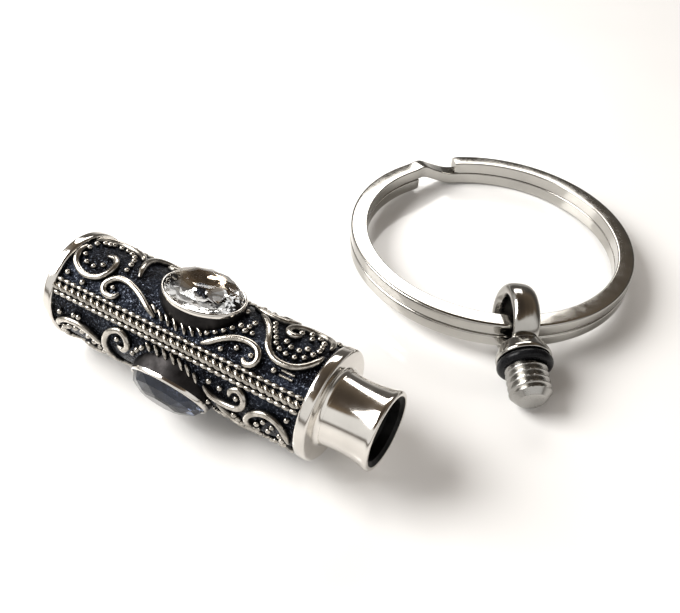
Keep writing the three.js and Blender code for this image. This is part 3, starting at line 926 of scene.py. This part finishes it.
def plug_stud(place):
    """The threaded stud, about 4 mm across, its thread fading out into the chamfer at its tip."""
    segments, rows = 96, 110
    verts = []
    for i in range(rows):
        x = -STUD_LENGTH - 0.1 + (STUD_LENGTH + 0.1 - 0.04) * i / (rows - 1)
        cone = STUD_TIP + (STUD_CREST - STUD_TIP) * min(1, -x / STUD_CHAMFER)
        for j in range(segments):
            turn = (x / THREAD_PITCH - j / segments) % 1
            groove = max(0, 1 - abs(turn - 0.5) / 0.42)
            radius = min(cone, STUD_CREST - (STUD_CREST - STUD_ROOT) * min(1, groove * 1.2))
            verts.append(place @ polar(x, radius, 2 * math.pi * j / segments))
    faces = grid_faces(rows, segments)
    first = (rows - 1) * segments
    for x, radius in ((-0.012, STUD_TIP - 0.03), (0.0, STUD_TIP - 0.09), (-0.004, 0.7)):
        start = len(verts)
        verts += [place @ point for point in hoop(x, radius, segments)]
        for j in range(segments):
            k = (j + 1) % segments
            faces.append((first + j, first + k, start + k, start + j))
        first = start
    verts.append(place @ Vector((-0.006, 0, 0)))
    faces += [(first + j, first + (j + 1) % segments, len(verts) - 1) for j in range(segments)]
    faces.append(tuple(range(segments)))
    make_object("plug_stud_thread", verts, faces, "plug", STUD_PAINTED_SHADE, (), 35)


# The eye's hole is a slot with round ends; its outside is an oval with a middle and two half axes.
EYE_NEAR, EYE_FAR, EYE_BEND = -6.05, -11.15, 1.9
EYE_MIDDLE = (EYE_NEAR + EYE_FAR) / 2
EYE_OVAL_X, EYE_HALF_LENGTH, EYE_HALF_HEIGHT = -9.125, 3.425, 3.3
EYE_HALF_WIDTH = 1.3
EYE_THINNEST = 0.5
EYE_TWIST = math.radians(-8.5)
EYE_LOOPS, EYE_SIDES = 96, 28


def eye_radii(angle):
    """How far the eye's hole and its outside are from the middle of the hole, in one direction."""
    cosine, sine = math.cos(angle), math.sin(angle)
    half = (EYE_NEAR - EYE_FAR) / 2 - EYE_BEND
    inside = EYE_BEND / max(1e-6, abs(sine))
    if abs(inside * cosine) > half:
        inside = half * abs(cosine) + math.sqrt(EYE_BEND ** 2 - (half * sine) ** 2)
    shift = EYE_MIDDLE - EYE_OVAL_X
    a = (cosine / EYE_HALF_LENGTH) ** 2 + (sine / EYE_HALF_HEIGHT) ** 2
    b = 2 * shift * cosine / EYE_HALF_LENGTH ** 2
    c = (shift / EYE_HALF_LENGTH) ** 2 - 1
    outside = (-b + math.sqrt(b * b - 4 * a * c)) / (2 * a)
    return inside, max(outside, inside + EYE_THINNEST)


def signed_power(value, power):
    """A power of a value's size, with the value's own sign."""
    return math.copysign(abs(value) ** power, value)


def plug_body(place):
    """Seal groove, tapered collar and eye, melted into one smooth piece, dark inside the eye."""
    profile = [(GROOVE_FACE, 0), (GROOVE_FACE, GROOVE_RADIUS), (COLLAR_FACE, GROOVE_RADIUS),
               (COLLAR_FACE, COLLAR_RADIUS), (COLLAR_FACE - 0.35, COLLAR_RADIUS), (COLLAR_BACK, 2.1),
               (COLLAR_ROOT, 1.5), (COLLAR_ROOT, 0)]
    collar = turned(rounded(profile, 0.2), place, 64)
    twisted = place @ Matrix.Rotation(EYE_TWIST, 4, "X")
    verts = []
    for i in range(EYE_LOOPS):
        angle = 2 * math.pi * i / EYE_LOOPS
        inside, outside = eye_radii(angle)
        for k in range(EYE_SIDES):
            turn = 2 * math.pi * k / EYE_SIDES
            across = EYE_HALF_WIDTH * signed_power(math.cos(turn), 0.75)
            share = signed_power(math.sin(turn), 0.9)
            radius = (inside + outside) / 2 + share * (outside - inside) / 2
            verts.append(twisted @ Vector((EYE_MIDDLE + radius * math.cos(angle), across,
                                           radius * math.sin(angle))))
    eye = (verts, grid_faces(EYE_LOOPS, EYE_SIDES, closed_rows=True))
    verts, faces = merge([collar, eye])
    piece = make_object("plug_body", verts, faces, "plug", STEEL, ["screw_plug"], 180)
    remesh = piece.modifiers.new("melt", "REMESH")
    remesh.mode = "VOXEL"
    remesh.voxel_size = 0.06 * MM
    soften = piece.modifiers.new("soften", "SMOOTH")
    soften.factor = 0.5
    soften.iterations = 8
    bpy.context.view_layer.update()
    final = bpy.data.meshes.new_from_object(piece.evaluated_get(bpy.context.evaluated_depsgraph_get()))
    piece.modifiers.clear()
    final.materials.clear()
    final.materials.append(STEEL)
    final.materials.append(EYE_SHADE)
    piece.data = final
    back = twisted.inverted()
    # Faces inside the eye's hole take the dark eye_shade material: painted shade.
    for polygon in final.polygons:
        polygon.use_smooth = True
        spot = back @ (polygon.center / MM)
        to_slot = spot.x - min(EYE_NEAR - EYE_BEND, max(EYE_FAR + EYE_BEND, spot.x))
        if math.hypot(to_slot, spot.z) < EYE_BEND + 0.12:
            polygon.material_index = 1


def seal(place):
    """The rubber ring in its groove."""
    verts = []
    segments, sides = 96, 24
    for i in range(segments):
        angle = 2 * math.pi * i / segments
        for k in range(sides):
            turn = 2 * math.pi * k / sides
            radius = SEAL_RADIUS + SEAL_CORD * math.cos(turn)
            verts.append(place @ polar(SEAL_CORD * math.sin(turn) - SEAL_BACK, radius, angle))
    faces = grid_faces(segments, sides, closed_rows=True)
    make_object("o_ring_seal", verts, faces, "plug", RUBBER, ["o_ring"], 180)


# ---------------------------------------------------------------- set


def floor():
    """A plain pale table, a little glossy."""
    bpy.ops.mesh.primitive_plane_add(size=3, location=(0, 0, 0))
    plane = bpy.context.object
    plane.name = "floor"
    n = Nodes("pale_table")
    n.drive("Base Color", n.ramp(n.noise(30, 2), (0.3, (0.86, 0.85, 0.84)), (0.7, (0.90, 0.89, 0.88))))
    n.shader.inputs["Roughness"].default_value = 0.12
    plane.data.materials.append(n.material)


# The room's tones in front of the object and behind it, by the sine of the height above eye level.
ROOM_FRONT = ((0.0, (0.22, 0.20, 0.18)), (0.07, (0.30, 0.28, 0.26)), (0.15, (0.95, 0.94, 0.92)),
              (0.67, (1.0, 0.99, 0.97)), (0.74, (0.20, 0.15, 0.10)), (0.88, (0.10, 0.075, 0.055)),
              (1.0, (0.07, 0.055, 0.042)))
ROOM_BACK = ((0.0, (0.55, 0.54, 0.52)), (0.06, (0.16, 0.15, 0.14)), (0.42, (0.10, 0.09, 0.08)),
             (0.65, (0.20, 0.155, 0.11)), (1.0, (0.07, 0.055, 0.042)))


def world():
    """A room: white with a dark skirting in front, dim behind, with a brown ceiling that metal mirrors."""
    scene_world = bpy.data.worlds.new("room")
    scene_world.use_nodes = True
    tree = scene_world.node_tree
    background = tree.nodes["Background"]
    coordinates = tree.nodes.new("ShaderNodeTexCoord")
    split = tree.nodes.new("ShaderNodeSeparateXYZ")
    tree.links.new(coordinates.outputs["Generated"], split.inputs["Vector"])
    front, back = (colour_ramp(tree, split.outputs["Z"], stops) for stops in (ROOM_FRONT, ROOM_BACK))
    blend = tree.nodes.new("ShaderNodeMapRange")
    blend.inputs["From Min"].default_value = -0.1
    blend.inputs["From Max"].default_value = 0.35
    tree.links.new(split.outputs["Y"], blend.inputs["Value"])
    mix = tree.nodes.new("ShaderNodeMix")
    mix.data_type = "RGBA"
    tree.links.new(blend.outputs["Result"], mix.inputs[MIX_FACTOR])
    tree.links.new(front, mix.inputs[MIX_FIRST])
    tree.links.new(back, mix.inputs[MIX_SECOND])
    tree.links.new(mix.outputs[MIX_RESULT], background.inputs["Color"])
    background.inputs["Strength"].default_value = 1.0
    bpy.context.scene.world = scene_world
    bpy.context.scene.view_settings.view_transform = "Standard"


def soft_light(name, left_of_back, elevation, distance, size, energy, colour):
    """A soft panel facing the object, its bearing in degrees to the left of the back (+Y)."""
    bearing, height = math.radians(left_of_back), math.radians(elevation)
    direction = Vector((-math.sin(bearing) * math.cos(height), math.cos(bearing) * math.cos(height),
                        math.sin(height)))
    data = bpy.data.lights.new(name, "AREA")
    data.shape = "RECTANGLE"
    data.size, data.size_y = size
    data.energy = energy
    data.color = colour
    light = bpy.data.objects.new(name, data)
    bpy.context.scene.collection.objects.link(light)
    light.location = direction * distance
    light.rotation_euler = (-direction).to_track_quat("-Z", "Y").to_euler()


CAMERA_AZIMUTH = math.radians(28.48)
CAMERA_ELEVATION = math.radians(44.9)
CAMERA_ROLL = math.radians(3.137)
CAMERA_PLACE = Vector((47.9, -37.75, 60.17))
CAMERA_LENS = 44.35


def camera():
    """The photo's view, fitted to its outlines: from above the mouth's end, turned a little."""
    azimuth, elevation, roll = CAMERA_AZIMUTH, CAMERA_ELEVATION, CAMERA_ROLL
    back = Vector((math.sin(azimuth) * math.cos(elevation), -math.cos(azimuth) * math.cos(elevation),
                   math.sin(elevation)))
    right = Vector((math.cos(azimuth), math.sin(azimuth), 0))
    up = back.cross(right)
    rolled_right = right * math.cos(roll) + up * math.sin(roll)
    rolled_up = up * math.cos(roll) - right * math.sin(roll)
    place = (TABLE_ORIGIN + CAMERA_PLACE) * MM
    data = bpy.data.cameras.new("camera")
    data.lens = CAMERA_LENS
    data.clip_start = 0.002
    eye = bpy.data.objects.new("camera", data)
    bpy.context.scene.collection.objects.link(eye)
    turn = Matrix((rolled_right, rolled_up, back)).transposed()
    eye.matrix_world = Matrix.Translation(place) @ turn.to_4x4()
    bpy.context.scene.camera = eye


base_and_shoulder()
neck()
solder_fillet()
ground_skin()
for index in range(PANELS):
    for make in (scroll_wires, ridge, granules, dashes, bezel, stone):
        make(index)
reservoir()
split_ring()
for make in (plug_stud, plug_body, seal):
    make(plug_place())
floor()
world()
soft_light("window", 32, 37, 0.5, (0.36, 0.14), 0.9, (1.0, 0.98, 0.95))
soft_light("side", 114, 42, 0.3, (0.18, 0.18), 1.35, (1.0, 0.99, 0.97))
camera()
